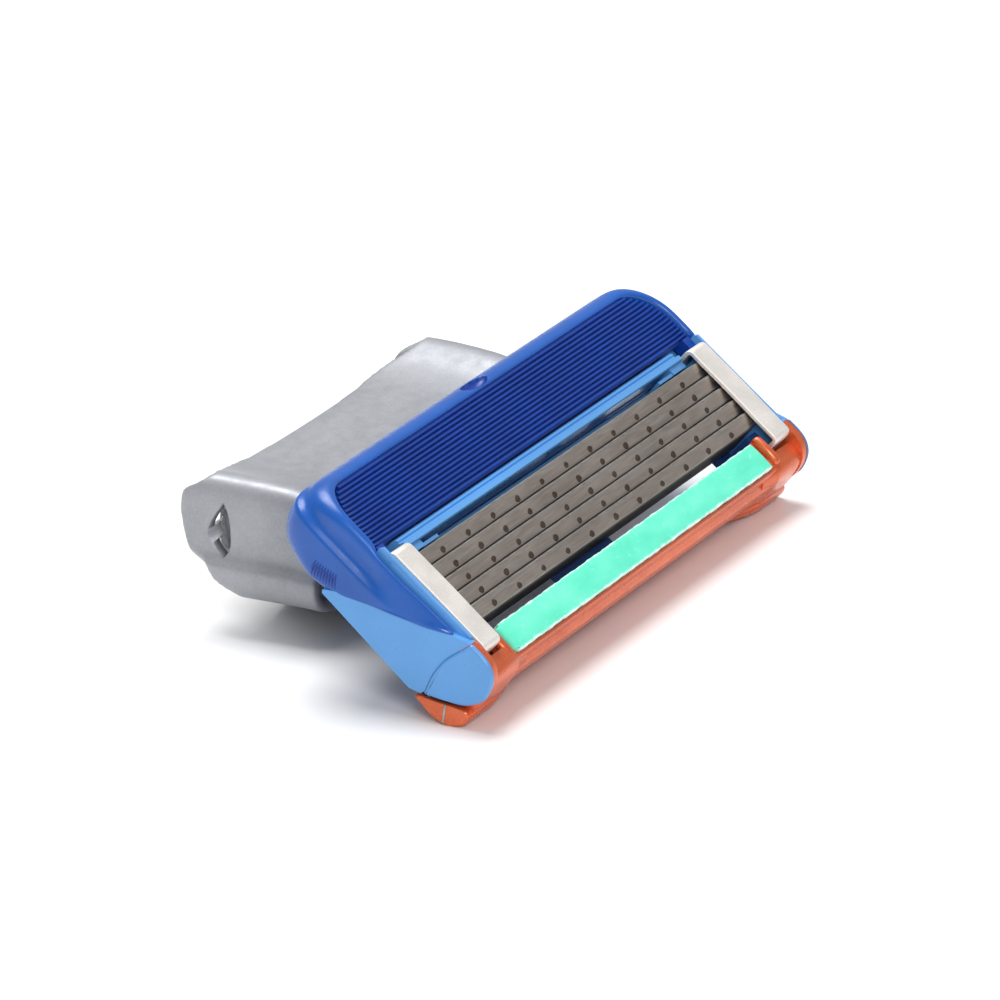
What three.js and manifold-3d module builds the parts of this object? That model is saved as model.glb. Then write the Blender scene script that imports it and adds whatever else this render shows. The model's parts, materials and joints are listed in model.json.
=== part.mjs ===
// Five-blade cartridge razor head: a blade unit that pivots on a connecting yoke.
//
// Millimetres. X runs along the blades, +Y points out of the yoke's docking mouth and +Z is up.
// The origin is the bottom centre of the whole head, lying on its yoke and its trimmer edge.
// The blade unit is drawn flat in its own axes, x along the blades, y towards the guard and
// z out of the shaving plane, and a turned group then leans it on the yoke.

import * as THREE from 'three';
import { mergeVertices } from 'three/addons/utils/BufferGeometryUtils.js';
import Module from 'manifold-3d';

const wasm = await Module();
wasm.setup();

// ---------------------------------------------------------------- driving dimensions

const SIDES = [-1, 1];
const GAP = 0.1; // clearance between pieces that lie against each other
const CUT = 1; // how far a cutting solid runs past the face it opens
const BITE = 0.2; // how far joined solids run into each other

// pose of the blade unit
const FACE_TILT = THREE.MathUtils.degToRad(39.1);
const PIVOT = { y: -2.27, z: 7.62 }; // pivot axis in the object's axes
const PIVOT_IN_UNIT = { y: 4.7, z: -2.95 }; // the same axis in the blade unit's axes

// pivot bearings
const DISC_R = 1.15;
const POCKET_R = 1.3;
const BEARING_PLAY = 0.15;
const ARM_IN = 8.2;
const ARM_OUT = 10.2;
const ARM_HALF_THICK = 0.6;
const ARM_LENGTH = 3.9;
const SWING = THREE.MathUtils.degToRad(40);

// blade unit
const HALF_LENGTH = 20.8;
const HOUSING_TOP = 0.45;
const HOUSING_BACK = -4.35;
const BLADES = 5;
const PITCH = 1.05;
const WELL = { halfX: 19, guardY: 3.3, capY: -2.95 };

// blades and their bent supports
const BLADE = {
  halfX: 18.9, edgeY: 0.65, rearY: -0.27, edgeZ: 0.2, rearZ: -0.08, thick: 0.1,
  bevelY: 0.3, bevelZ: 0.19,
};
const SUPPORT = { halfX: 18.75, thick: 0.16, legY: -0.15, legZ: -2.3 };
const SHELF = { nose: 0.22, drop: 0.03 }; // the support's sloping shelf under each blade
const COMB = { inner: 17.7, halfThick: 0.22, top: -0.75, bottom: -3.2, floor: 0.5 };

// bars across the open back, and the cam block that a handle's plunger pushes on
const CROSS_BARS = { xs: [-12, -6.2, 6.2, 12], halfX: 0.4, low: -4.3, high: -3.35 };
const SPINE_HALF_Y = 0.35;
const CAM_HALF_X = 3;
const CAM = [[-1.6, -4.3], [2, -4.3], [1.2, -3.35], [-0.6, -3.25]];

// clips
const CLIP = { inner: 18.1, outer: 20.2, guardY: 3.75, capY: -4.15, top: 0.57, thick: 0.28 };
const CLIP_FOLD = { bend: 0.25, capLegZ: -1.6, hook: 1.1 };
const CLIP_SEAT = { z: 0.2, margin: 0.4, slotZ: -1.75 };

// guard
const BAR = { innerY: 2.5, outerY: 4.35, halfX: 17.7, top: -0.15 };
const PLATFORM = { outerY: 8.85, halfX: 18.8, top: -1.15 };
const GUARD = { halfX: 20.9, innerY: 4.45, outerY: 9.85, top: -0.45, bottom: -4.75, cornerR: 3.4 };
const FINS = { count: 15, pitch: 0.2825, firstY: 4.46, halfX: 18.4, height: 0.15, root: 0.3 };
const GATE = { y: 9.5, z: -0.45, wide: 0.55, narrow: 0.4, depth: 0.5 }; // moulding gate's dimple
const WING_THICK = 0.4;

// cap side
const STRIP = { halfX: 16.75, guardY: -3.2, capY: -5.1, top: -0.15, bottom: -0.95 };
const STRIP_CHAMFER = { y: 0.3, z: 0.1 };
const CARRIER = { halfX: 19.85, midHalfX: 17.7, topZ: -0.3 };
const CAP_BAY_PLAY = 0.15;
const TRIMMER_COMB = { halfX: 16.4, teeth: 14, toothWidth: 0.6 };
const TRIMMER_POSTS = { xs: [-13, -5, 5, 13], halfX: 0.5 };
const TRIMMER = { bladeHalfX: 16, supportHalfX: 16.2 };

// yoke
const YOKE_HALF = 14.3;
const YOKE_REACH = 14;
const YOKE_WALL = 0.9;
const SOCKET = { halfX: 6, back: 1.3, mouth: 10.9, low: 0.6, high: 7.5 };
const DECK = { low: 5.55, high: 6.05, back: 2, mouth: 10.4, outer: 13.6 };
const WINDOW_IN = 12.9;

// ---------------------------------------------------------------- colours

const COLOURS = {
  paleBlue: { color: 0x5b9ada, roughness: 0.38, metalness: 0 },
  navyElastomer: { color: 0x16409c, roughness: 0.55, metalness: 0 },
  bladeSteel: { color: 0x9f9891, roughness: 0.35, metalness: 1 },
  supportSteel: { color: 0x6d6a68, roughness: 0.45, metalness: 1 },
  clipAluminium: { color: 0xe2dcd6, roughness: 0.42, metalness: 0.9 },
  mintStrip: { color: 0x66ecc8, roughness: 0.6, metalness: 0 },
  copperPlastic: { color: 0xb4603f, roughness: 0.32, metalness: 0.35 },
  silverPlastic: { color: 0xa6a9ad, roughness: 0.35, metalness: 0.4 },
};

const material = (name) => new THREE.MeshStandardMaterial({ name, ...COLOURS[name] });

// ---------------------------------------------------------------- solids

// Turns a closed three.js geometry into a manifold solid.
function solid(geometry) {
  geometry.deleteAttribute('normal');
  geometry.deleteAttribute('uv');
  const merged = mergeVertices(geometry, 1e-5);
  const vertProperties = new Float32Array(merged.attributes.position.array);
  const triVerts = new Uint32Array(merged.index.array);
  return new wasm.Manifold(new wasm.Mesh({ numProp: 3, vertProperties, triVerts }));
}

const join = (...pieces) => pieces.reduce((whole, piece) => whole.add(piece));
const cut = (whole, ...tools) => tools.reduce((rest, tool) => rest.subtract(tool), whole);
const common = (...pieces) => pieces.reduce((whole, piece) => whole.intersect(piece));

// A named mesh from a manifold solid.
function part(name, whole, finish) {
  const mesh = whole.getMesh();
  const geometry = new THREE.BufferGeometry();
  geometry.setAttribute('position', new THREE.BufferAttribute(mesh.vertProperties, 3));
  geometry.setIndex(new THREE.BufferAttribute(mesh.triVerts, 1));
  geometry.computeVertexNormals();
  const result = new THREE.Mesh(geometry, material(finish));
  result.name = name;
  return result;
}

const shapeOf = (points) => new THREE.Shape(points.map(([u, v]) => new THREE.Vector2(u, v)));

function extruded(shape, depth) {
  return new THREE.ExtrudeGeometry(shape, { depth, bevelEnabled: false, curveSegments: 6 });
}

// An outline of [y, z] points, run along X from x0 to x1.
function alongX(outline, x0, x1) {
  const geometry = extruded(shapeOf(outline), x1 - x0);
  const turn = new THREE.Matrix4().makeBasis(
    new THREE.Vector3(0, 1, 0),
    new THREE.Vector3(0, 0, 1),
    new THREE.Vector3(1, 0, 0),
  );
  return solid(geometry.applyMatrix4(turn).translate(x0, 0, 0));
}

// An outline of [x, z] points, run along Y from y0 to y1.
function alongY(outline, y0, y1) {
  const geometry = extruded(shapeOf(outline), y1 - y0);
  return solid(geometry.rotateX(Math.PI / 2).translate(0, y1, 0));
}

// A shape in X and Y, run along Z from z0 to z1.
function alongZ(shape, z0, z1) {
  return solid(extruded(shape, z1 - z0).translate(0, 0, z0));
}

function box(x0, x1, y0, y1, z0, z1) {
  const geometry = new THREE.BoxGeometry(x1 - x0, y1 - y0, z1 - z0);
  return solid(geometry.translate((x0 + x1) / 2, (y0 + y1) / 2, (z0 + z1) / 2));
}

// The same box on one side of the middle plane, from |x| = inner to |x| = outer.
function sideBox(side, inner, outer, y0, y1, z0, z1) {
  const [x0, x1] = sideSpan(side, inner, outer);
  return box(x0, x1, y0, y1, z0, z1);
}

const sideSpan = (side, inner, outer) => (side > 0 ? [inner, outer] : [-outer, -inner]);

function discAlongX(y, z, radius, x0, x1) {
  const geometry = new THREE.CylinderGeometry(radius, radius, x1 - x0, 28);
  return solid(geometry.rotateZ(Math.PI / 2).translate((x0 + x1) / 2, y, z));
}

// Both halves of an outline that is symmetric about the first coordinate.
const mirrored = (half) => [...half, ...half.map(([u, v]) => [-u, v]).reverse()];

// ---------------------------------------------------------------- yoke

// The yoke's side outline in [y, z]: rounded rear rim, level top, then a slope that
// stays clear of the back of the blade unit, and a belly that rests on the table.
const YOKE_SIDE = [
  [12.2, 6.4], [12, 7.4], [11.4, 8.4], [10.3, 9.3], [8.6, 9.2], [3.1, 8.95], [0.45, 6.8], [0.1, 6],
  [0.1, 3], [0.8, 1.1], [2, 0], [8, 0], [9.3, 1.1], [10.1, 2.9], [11.1, 4.2], [11.9, 5.4],
];

// Half of the yoke's rear outline in [x, z]: flat belly, flared ear, sagging top.
const YOKE_REAR = [
  [6.6, 0], [8.2, 0.5], [10.5, 1.35], [12.6, 1.75], [13.7, 2.4], [14.2, 4], [14.3, 7.2],
  [14.1, 8.7], [13.5, 9.3], [12.7, 9.1], [11.3, 8.05], [9.5, 7.8], [5, 8.05],
];

// The same outline inside the wall.
const YOKE_REAR_INNER = [
  [6.3, 0.95], [7.9, 1.4], [10.3, 2.3], [12.3, 2.7], [12.9, 3.1], [13.3, 4.3], [13.35, 7],
  [13.1, 8], [12.6, 8.05], [11.4, 7.1], [9.5, 6.85], [5, 7.1],
];

// Half of the yoke's plan in [x, y]. The ears start behind a step, where they are open.
const YOKE_PLAN = [
  [11.8, -1], [11.8, 2.9], [13.9, 2.9], [YOKE_HALF, 8.2], [YOKE_HALF, 10], [13.8, 11.7],
  [12.4, 13], [6, 13],
];

// The lens-shaped window in each ear, in [y, z].
const EAR_WINDOW = [
  [8.85, 8.1], [8.5, 7.2], [8.5, 5.4], [8.9, 4.6], [9.6, 5.3], [9.9, 6.3],
];

// A flat arm that ends in the round bearing, leaning halfway between the two stops.
function yokeArm(side) {
  const [x0, x1] = sideSpan(side, ARM_IN, ARM_OUT);
  const lean = FACE_TILT - Math.PI / 2 + SWING / 2;
  const along = { y: Math.cos(lean), z: Math.sin(lean) };
  const across = { y: -along.z * ARM_HALF_THICK, z: along.y * ARM_HALF_THICK };
  const end = { y: PIVOT.y + along.y * ARM_LENGTH, z: PIVOT.z + along.z * ARM_LENGTH };
  const outline = [
    [PIVOT.y - across.y, PIVOT.z - across.z],
    [end.y - across.y, end.z - across.z],
    [end.y + across.y, end.z + across.z],
    [PIVOT.y + across.y, PIVOT.z + across.z],
  ];
  return join(alongX(outline, x0, x1), discAlongX(PIVOT.y, PIVOT.z, DISC_R, x0, x1));
}

// The yoke's outer form, where its side, rear and plan outlines agree.
function yokeForm() {
  return common(
    alongX(YOKE_SIDE, -YOKE_HALF, YOKE_HALF),
    alongY(mirrored(YOKE_REAR), -CUT, YOKE_REACH),
    alongZ(shapeOf(mirrored(YOKE_PLAN)), -CUT, 10),
  );
}

// The hollow behind the front wall, with a roof that follows the sloping top.
function yokeHollow() {
  const { back } = SOCKET;
  const rear = YOKE_REACH;
  const roof = [[back, 0], [rear, 0], [rear, 9.2], [3.6, 7.8], [back, 5.9]];
  const hollow = alongY(mirrored(YOKE_REAR_INNER), back, rear);
  return common(hollow, alongX(roof, -YOKE_HALF, YOKE_HALF));
}

// Walls of the docking socket and the deck that stiffens each ear.
function yokeRibs(side) {
  const { halfX, back, mouth, low, high } = SOCKET;
  const wall = sideBox(side, halfX, halfX + YOKE_WALL, back - BITE, mouth, low, high);
  const deck = sideBox(side, halfX + BITE, DECK.outer, DECK.back, DECK.mouth, DECK.low, DECK.high);
  return join(wall, deck);
}

function yokeWindow(side) {
  const [x0, x1] = sideSpan(side, WINDOW_IN, YOKE_HALF + CUT);
  return alongX(EAR_WINDOW, x0, x1);
}

function connectingYoke() {
  const form = yokeForm();
  const ribs = common(join(...SIDES.map(yokeRibs)), form);
  const shell = join(cut(form, yokeHollow()), ribs, ...SIDES.map(yokeArm));
  return part('connecting_yoke', cut(shell, ...SIDES.map(yokeWindow)), 'silverPlastic');
}

// ---------------------------------------------------------------- blade housing

// The housing's end outline in [y, z]: a level rim, a rounded lobe beyond the cap
// edge and a flat back. Between the ends it is cut away for the trimmer carrier.
const HOUSING_END = [
  [BAR.outerY, HOUSING_TOP], [-3.6, HOUSING_TOP], [-4.7, 0.38], [-5.5, -0.05], [-5.9, -0.75],
  [-6, -1.5], [-5.8, -2.15], [-5.3, -2.75], [-3.95, -3.65], [-2.8, HOUSING_BACK],
  [8.3, HOUSING_BACK], [PLATFORM.outerY, -3.7], [PLATFORM.outerY, -1.6],
  [8.4, PLATFORM.top], [BAR.outerY, PLATFORM.top],
];

// The elastomer's wing on each end of the housing, in [y, z].
const WING = [
  [GUARD.innerY, 0.1], [-1.9, 0.1], [-2.1, -0.15], [-1.6, -0.75], [-0.7, -1.26], [0.75, -1.93],
  [2.1, -2.7], [3.5, -3.66], [5, HOUSING_BACK], [GUARD.innerY + 1.5, -4.5], [8.2, -4.5],
  [8.8, -3], [8.6, -0.4],
];

// The outline moved outwards by a distance, for an outline that runs anticlockwise.
function grown(outline, by) {
  return outline.map(([u, v], i) => {
    const [u0, v0] = outline[(i + outline.length - 1) % outline.length];
    const [u1, v1] = outline[(i + 1) % outline.length];
    const normal = new THREE.Vector2(v - v0, u0 - u).normalize();
    normal.add(new THREE.Vector2(v1 - v, u - u1).normalize()).normalize();
    return [u + normal.x * by, v + normal.y * by];
  });
}

// The round pocket for a bearing, with a mouth that flares as far as the arm swings.
function bearingPocket(side) {
  const { y, z } = PIVOT_IN_UNIT;
  const [x0, x1] = sideSpan(side, ARM_IN - BEARING_PLAY, ARM_OUT + BEARING_PLAY);
  const bottom = HOUSING_BACK - BITE;
  const neck = ARM_HALF_THICK / Math.cos(SWING / 2) + GAP;
  const spread = (z - bottom) * Math.tan(SWING / 2);
  const mouth = [
    [y - neck, z], [y - neck - spread, bottom], [y + neck + spread, bottom], [y + neck, z],
  ];
  return join(alongX(mouth, x0, x1), discAlongX(y, z, POCKET_R, x0, x1));
}

// The comb at each end of the well, whose slots hold the legs of the blade supports.
function bladeComb(side) {
  const { inner, halfThick, top, bottom } = COMB;
  const outer = WELL.halfX + BITE;
  const ribs = [];
  for (let i = 0; i <= BLADES; i += 1) {
    const y = (BLADES / 2 - i) * PITCH + SUPPORT.legY - SUPPORT.thick / 2;
    ribs.push(sideBox(side, inner, outer, y - halfThick, y + halfThick, bottom, top));
  }
  const floorTop = bottom + GAP;
  const [y0, y1] = [WELL.capY - BITE, WELL.guardY + BITE];
  return join(sideBox(side, inner, outer, y0, y1, floorTop - COMB.floor, floorTop), ...ribs);
}

// Cross bars behind the blades, the spine between them and the cam block.
function housingBack() {
  const { xs, halfX, low, high } = CROSS_BARS;
  const [y0, y1] = [WELL.capY - BITE, WELL.guardY + BITE];
  const bars = xs.map((x) => box(x - halfX, x + halfX, y0, y1, low, high));
  const spine = box(-WELL.halfX, WELL.halfX, -SPINE_HALF_Y, SPINE_HALF_Y, low, high);
  return join(spine, alongX(CAM, -CAM_HALF_X, CAM_HALF_X), ...bars);
}

// The sunk seat of a clip and the slots for its two legs.
function clipSeat(side) {
  const { guardY, capY, thick } = CLIP;
  const { z, margin, slotZ } = CLIP_SEAT;
  const [inner, outer] = [CLIP.inner - GAP, CLIP.outer + GAP];
  const seat = sideBox(side, inner, outer, capY - margin, guardY + margin, z, HOUSING_TOP + CUT);
  const guardLeg = [guardY - thick - GAP, guardY + GAP];
  const capLeg = [capY - GAP, capY + thick + GAP];
  const guardSlot = sideBox(side, inner, outer, ...guardLeg, HOUSING_BACK - CUT, CUT);
  return join(seat, guardSlot, sideBox(side, inner, outer, ...capLeg, slotZ, CUT));
}

// The bay along the cap edge that takes the trimmer carrier, in [y, z]: a rail is left
// standing in it for the carrier to hook round.
const CAP_BAY = [
  [-7, 1], [-3.5, 1], [-3.5, -1.4], [-5.1, -1.4], [-5.1, -3], [-3.5, -3], [-3.5, -5], [-7, -5],
];

// Everything that is cut from the housing along its cap edge.
function capCuts() {
  const { midHalfX, halfX } = CARRIER;
  const bay = alongX(CAP_BAY, -midHalfX - CAP_BAY_PLAY, midHalfX + CAP_BAY_PLAY);
  const tray = box(-midHalfX, midHalfX, -3.6, -2.5, -1.4, CUT);
  const lobeY = CLIP.capY - CLIP_SEAT.margin;
  const lobes = SIDES.map((side) => sideBox(side, midHalfX - CUT, halfX + GAP, -7, lobeY, -5, CUT));
  return join(bay, tray, ...lobes);
}

// Everything that is cut from the housing to seat the elastomer at one end.
function elastomerCuts(side) {
  const [x0, x1] = sideSpan(side, GUARD.halfX - WING_THICK - GAP, HALF_LENGTH + CUT);
  const wing = alongX(grown(WING, GAP), x0, x1);
  const end = sideBox(side, PLATFORM.halfX, HALF_LENGTH + CUT, BAR.outerY, 10, -5, CUT);
  return join(wing, end);
}

function bladeHousing() {
  const block = alongX(HOUSING_END, -HALF_LENGTH, HALF_LENGTH);
  const well = box(-WELL.halfX, WELL.halfX, WELL.capY, WELL.guardY, HOUSING_BACK - CUT, CUT);
  const barTop = box(-BAR.halfX, BAR.halfX, BAR.innerY, BAR.outerY + CUT, BAR.top, CUT);
  const body = cut(block, well, barTop, capCuts(), ...SIDES.map(elastomerCuts));
  const filled = join(body, housingBack(), ...SIDES.map(bladeComb));
  const seats = [...SIDES.map(clipSeat), ...SIDES.map(bearingPocket)];
  return part('blade_housing', cut(filled, ...seats), 'paleBlue');
}

// ---------------------------------------------------------------- guard elastomer

// The guard's plan with its two rounded corners, from the line y = innerY outwards.
function guardPlan(innerY) {
  const { halfX, outerY, cornerR } = GUARD;
  const shape = new THREE.Shape();
  shape.moveTo(-halfX, innerY);
  shape.lineTo(halfX, innerY);
  shape.lineTo(halfX, outerY - cornerR);
  shape.absarc(halfX - cornerR, outerY - cornerR, cornerR, 0, Math.PI / 2, false);
  shape.lineTo(cornerR - halfX, outerY);
  shape.absarc(cornerR - halfX, outerY - cornerR, cornerR, Math.PI / 2, Math.PI, false);
  shape.closePath();
  return shape;
}

// Ridge profile of the flexible fins in [y, z], a sawtooth on a flat base.
function finProfile() {
  const { count, pitch, firstY, height, root } = FINS;
  const top = GUARD.top + height;
  const base = GUARD.top - root;
  const points = [[firstY + count * pitch, base], [firstY, base]];
  for (let i = 0; i < count; i += 1) {
    points.push([firstY + i * pitch, GUARD.top]);
    points.push([firstY + (i + 0.5) * pitch, top]);
  }
  points.push([firstY + count * pitch, GUARD.top]);
  return points.reverse();
}

// The elastomer's section in [y, z]: a flat top for the fins and a rounded outer side.
const GUARD_SECTION = [
  [GUARD.innerY, GUARD.top], [8.85, GUARD.top], [9.5, -0.8], [GUARD.outerY, -1.5],
  [GUARD.outerY, -2.6], [9.35, -3.8], [8.5, -4.5], [7.4, GUARD.bottom], [6.3, -4.7],
  [GUARD.innerY, -4.5],
];

function guardBlock() {
  const { halfX, innerY, bottom } = GUARD;
  const plan = alongZ(guardPlan(innerY), bottom - CUT, CUT);
  const platformX = PLATFORM.halfX + GAP;
  const platformY = PLATFORM.outerY + GAP;
  const platformZ = PLATFORM.top + GAP;
  const platform = box(-platformX, platformX, 0, platformY, bottom - CUT, platformZ);
  return cut(common(alongX(GUARD_SECTION, -halfX, halfX), plan), platform);
}

function guardWing(side) {
  const [x0, x1] = sideSpan(side, GUARD.halfX - WING_THICK, GUARD.halfX);
  return common(alongX(WING, x0, x1), alongZ(guardPlan(-HALF_LENGTH), GUARD.bottom - CUT, CUT));
}

function guardElastomer() {
  const fins = alongX(finProfile(), -FINS.halfX, FINS.halfX);
  const gate = new THREE.CylinderGeometry(GATE.wide, GATE.narrow, GATE.depth, 12);
  const dimple = solid(gate.rotateX(Math.PI / 2).translate(0, GATE.y, GATE.z));
  const whole = join(guardBlock(), fins, ...SIDES.map(guardWing));
  return part('guard_elastomer', cut(whole, dimple), 'navyElastomer');
}

// ---------------------------------------------------------------- blades

const rowY = (row) => ((BLADES - 1) / 2 - row) * PITCH;

// The blade strip lies on its support at a slant, cutting edge high and towards the guard.
function bladeStrip(row) {
  const y = rowY(row);
  const { halfX, edgeY, rearY, edgeZ, rearZ, thick, bevelY, bevelZ } = BLADE;
  const outline = [
    [y + edgeY, edgeZ], [y + rearY, rearZ], [y + rearY, rearZ - thick],
    [y + edgeY - bevelY, edgeZ - bevelZ],
  ];
  return part(`blade_${row + 1}`, alongX(outline, -halfX, halfX), 'bladeSteel');
}

// A bent strip: a slanted shelf under the blade and an upright leg in the housing comb.
function bladeSupport(row) {
  const y = rowY(row);
  const { halfX, thick, legY, legZ } = SUPPORT;
  const { nose, drop } = SHELF;
  const slope = (BLADE.edgeZ - BLADE.rearZ) / (BLADE.edgeY - BLADE.rearY);
  const shelf = (v) => BLADE.rearZ - BLADE.thick - drop + (v - BLADE.rearY) * slope;
  const outline = [
    [y + nose, shelf(nose)], [y + legY - thick, shelf(legY - thick)],
    [y + legY - thick, legZ], [y + legY, legZ],
    [y + legY, shelf(legY) - thick], [y + nose, shelf(nose) - thick],
  ];
  return part(`blade_support_${row + 1}`, alongX(outline, -halfX, halfX), 'supportSteel');
}

// ---------------------------------------------------------------- clips

// A folded aluminium band: top plate, a hooked leg through the guard side of the
// housing and a short leg into the cap side.
function bladeClip(side) {
  const { inner, outer, guardY, capY, top, thick } = CLIP;
  const { bend, capLegZ, hook } = CLIP_FOLD;
  const hookZ = HOUSING_BACK - GAP;
  const outline = [
    [guardY - bend, top], [capY + bend, top], [capY, top - bend], [capY, capLegZ],
    [capY + thick, capLegZ], [capY + thick, top - thick], [guardY - thick, top - thick],
    [guardY - thick, hookZ], [guardY - hook, hookZ], [guardY - hook, hookZ - thick],
    [guardY, hookZ - thick], [guardY, top - bend],
  ];
  const [x0, x1] = sideSpan(side, inner, outer);
  const name = side < 0 ? 'blade_clip_left' : 'blade_clip_right';
  return part(name, alongX(outline, x0, x1), 'clipAluminium');
}

// ---------------------------------------------------------------- cap side

function lubricatingStrip() {
  const { halfX, guardY, capY, top, bottom } = STRIP;
  const { y, z } = STRIP_CHAMFER;
  const outline = [
    [guardY, top - z], [guardY - y, top], [capY + y, top], [capY, top - z],
    [capY, bottom], [guardY, bottom],
  ];
  return part('lubricating_strip', alongX(outline, -halfX, halfX), 'mintStrip');
}

// The carrier's section in [y, z]: a channel that hooks round the housing's cap rail,
// with a shallow tray on top for the strip and a gap at the lower corner for the blade.
const CARRIER_SECTION = [
  [-3.1, -1.3], [-3.1, STRIP.bottom - GAP], [-5.15, STRIP.bottom - GAP], [-5.15, CARRIER.topZ],
  [-5.5, CARRIER.topZ], [-5.65, -0.6], [-5.65, -3.1], [-5.5, -3.9], [-5.3, -4.35],
  [-4.3, -4.7], [-2.95, -4.7], [-2.95, -4.45], [-4.35, -4.42], [-5.05, -4.1], [-5.25, -3.2],
  [-5.25, -1.3],
];

// The heavier foot at each end, under the lobe of the housing, in [y, z].
const CARRIER_FOOT = [
  [-3.05, -4.75], [-4.3, -4.8], [-5.45, -4.48], [-6.1, -3.75], [-6.05, -2.95], [-5.45, -2.88],
  [-4.1, -3.75], [-3.05, -4.45],
];

// The shoulder that fills the lobe of the housing from inside, in [y, z].
const CARRIER_SHOULDER = [
  [-4.65, -0.25], [-5.5, -0.3], [-5.85, -0.7], [-6, -1.5], [-6, -3.5], [-5.45, -3.5], [-4.65, -3.35],
];

// The same outline on both ends of the carrier, from |x| = inner to |x| = outer.
function atBothEnds(outline, inner, outer) {
  return SIDES.map((side) => alongX(outline, ...sideSpan(side, inner, outer)));
}

// The slots of the comb that guards the trimmer's edge.
function trimmerCombSlots() {
  const { halfX, teeth, toothWidth } = TRIMMER_COMB;
  const step = (2 * halfX) / teeth;
  const slots = [];
  for (let i = 0; i < teeth; i += 1) {
    const x = -halfX + i * step;
    slots.push(box(x, x + step - toothWidth, -5.45, -4.75, -5, -3.9));
  }
  return slots;
}

function trimmerCarrier() {
  const { halfX, midHalfX, topZ } = CARRIER;
  const channel = alongX(CARRIER_SECTION, -midHalfX, midHalfX);
  const feet = atBothEnds(CARRIER_FOOT, midHalfX - 0.7, HALF_LENGTH);
  const shoulders = atBothEnds(CARRIER_SHOULDER, midHalfX - 0.4, halfX);
  const trayEnds = SIDES.map((side) => sideBox(side, STRIP.halfX + GAP, midHalfX,
    -5.3, -3.1, -1.25, topZ));
  const posts = TRIMMER_POSTS.xs.map((x) => box(x - TRIMMER_POSTS.halfX, x + TRIMMER_POSTS.halfX,
    -4.05, -3.7, -4.5, -3.5));
  const whole = join(channel, ...feet, ...shoulders, ...trayEnds, ...posts);
  return part('trimmer_carrier', cut(whole, ...trimmerCombSlots()), 'copperPlastic');
}

// The bent shelf that carries the trimmer blade, in [y, z].
const TRIMMER_SUPPORT = [
  [-3.6, -3.3], [-4.2, -3.3], [-4.31, -3.44], [-4.62, -3.83], [-4.52, -3.92], [-4.2, -3.53],
  [-4.15, -3.44], [-3.6, -3.44],
];

function trimmerSupport() {
  const { supportHalfX } = TRIMMER;
  const shelf = alongX(TRIMMER_SUPPORT, -supportHalfX, supportHalfX);
  return part('trimmer_blade_support', shelf, 'supportSteel');
}

// The trimmer's single blade, pointing down at the lower cap edge, in [y, z].
const TRIMMER_EDGE = [[-4.33, -3.42], [-4.41, -3.36], [-4.93, -4], [-4.9, -4.04]];

function trimmerBlade() {
  const { bladeHalfX } = TRIMMER;
  return part('trimmer_blade', alongX(TRIMMER_EDGE, -bladeHalfX, bladeHalfX), 'bladeSteel');
}

// ---------------------------------------------------------------- assembly

function bladeUnit() {
  const unit = new THREE.Group();
  unit.add(bladeHousing());
  unit.add(guardElastomer());
  for (let row = 0; row < BLADES; row += 1) {
    unit.add(bladeSupport(row));
    unit.add(bladeStrip(row));
  }
  SIDES.forEach((side) => unit.add(bladeClip(side)));
  unit.add(lubricatingStrip());
  unit.add(trimmerCarrier());
  unit.add(trimmerSupport());
  unit.add(trimmerBlade());
  return unit;
}

// Leans the blade unit so that its pivot bearings sit on the yoke's pivot axis.
function leanOnPivot(unit) {
  const { y, z } = PIVOT_IN_UNIT;
  const offsetY = y * Math.cos(FACE_TILT) - z * Math.sin(FACE_TILT);
  const offsetZ = y * Math.sin(FACE_TILT) + z * Math.cos(FACE_TILT);
  unit.rotation.x = FACE_TILT;
  unit.position.set(0, PIVOT.y - offsetY, PIVOT.z - offsetZ);
  return unit;
}

const razorHead = new THREE.Group();
razorHead.add(connectingYoke());
razorHead.add(leanOnPivot(bladeUnit()));

export default razorHead;
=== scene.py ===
"""Looks of the five-blade cartridge razor head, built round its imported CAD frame."""
import json
import math
import random

import bmesh
import bpy
from mathutils import Matrix, Vector

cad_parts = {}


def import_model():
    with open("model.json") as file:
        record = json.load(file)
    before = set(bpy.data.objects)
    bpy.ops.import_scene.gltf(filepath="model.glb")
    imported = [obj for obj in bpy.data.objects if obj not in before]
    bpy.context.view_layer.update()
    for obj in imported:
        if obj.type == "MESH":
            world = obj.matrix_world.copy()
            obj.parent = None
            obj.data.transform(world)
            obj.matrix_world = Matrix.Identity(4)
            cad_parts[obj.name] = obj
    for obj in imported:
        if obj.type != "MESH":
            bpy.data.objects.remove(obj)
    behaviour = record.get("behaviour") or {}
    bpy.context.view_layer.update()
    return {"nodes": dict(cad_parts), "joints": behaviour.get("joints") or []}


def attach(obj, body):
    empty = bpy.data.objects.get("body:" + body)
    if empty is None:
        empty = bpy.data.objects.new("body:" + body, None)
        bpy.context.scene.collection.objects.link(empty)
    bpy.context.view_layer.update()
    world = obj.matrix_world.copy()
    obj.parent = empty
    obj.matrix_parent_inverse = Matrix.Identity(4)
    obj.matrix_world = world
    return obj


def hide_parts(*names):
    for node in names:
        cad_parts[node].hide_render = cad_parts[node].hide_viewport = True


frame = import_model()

MM = 0.001
SIDES = (-1, 1)
BLADES = 5
PITCH = 1.05  # mm from blade to blade

# ------------------------------------------------------------------ placement

JOINTS = {joint["name"]: joint for joint in frame["joints"]}
FLOAT_AXIS = JOINTS["blade_1_float"]["axis"]
TILT = math.atan2(FLOAT_AXIS[1], -FLOAT_AXIS[2])
PIVOT = Vector(JOINTS["blade_unit_pivot"]["pos_m"])
PIVOT_IN_UNIT = Vector((0, 4.7, -2.95))  # mm, in the blade unit's own axes

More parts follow.
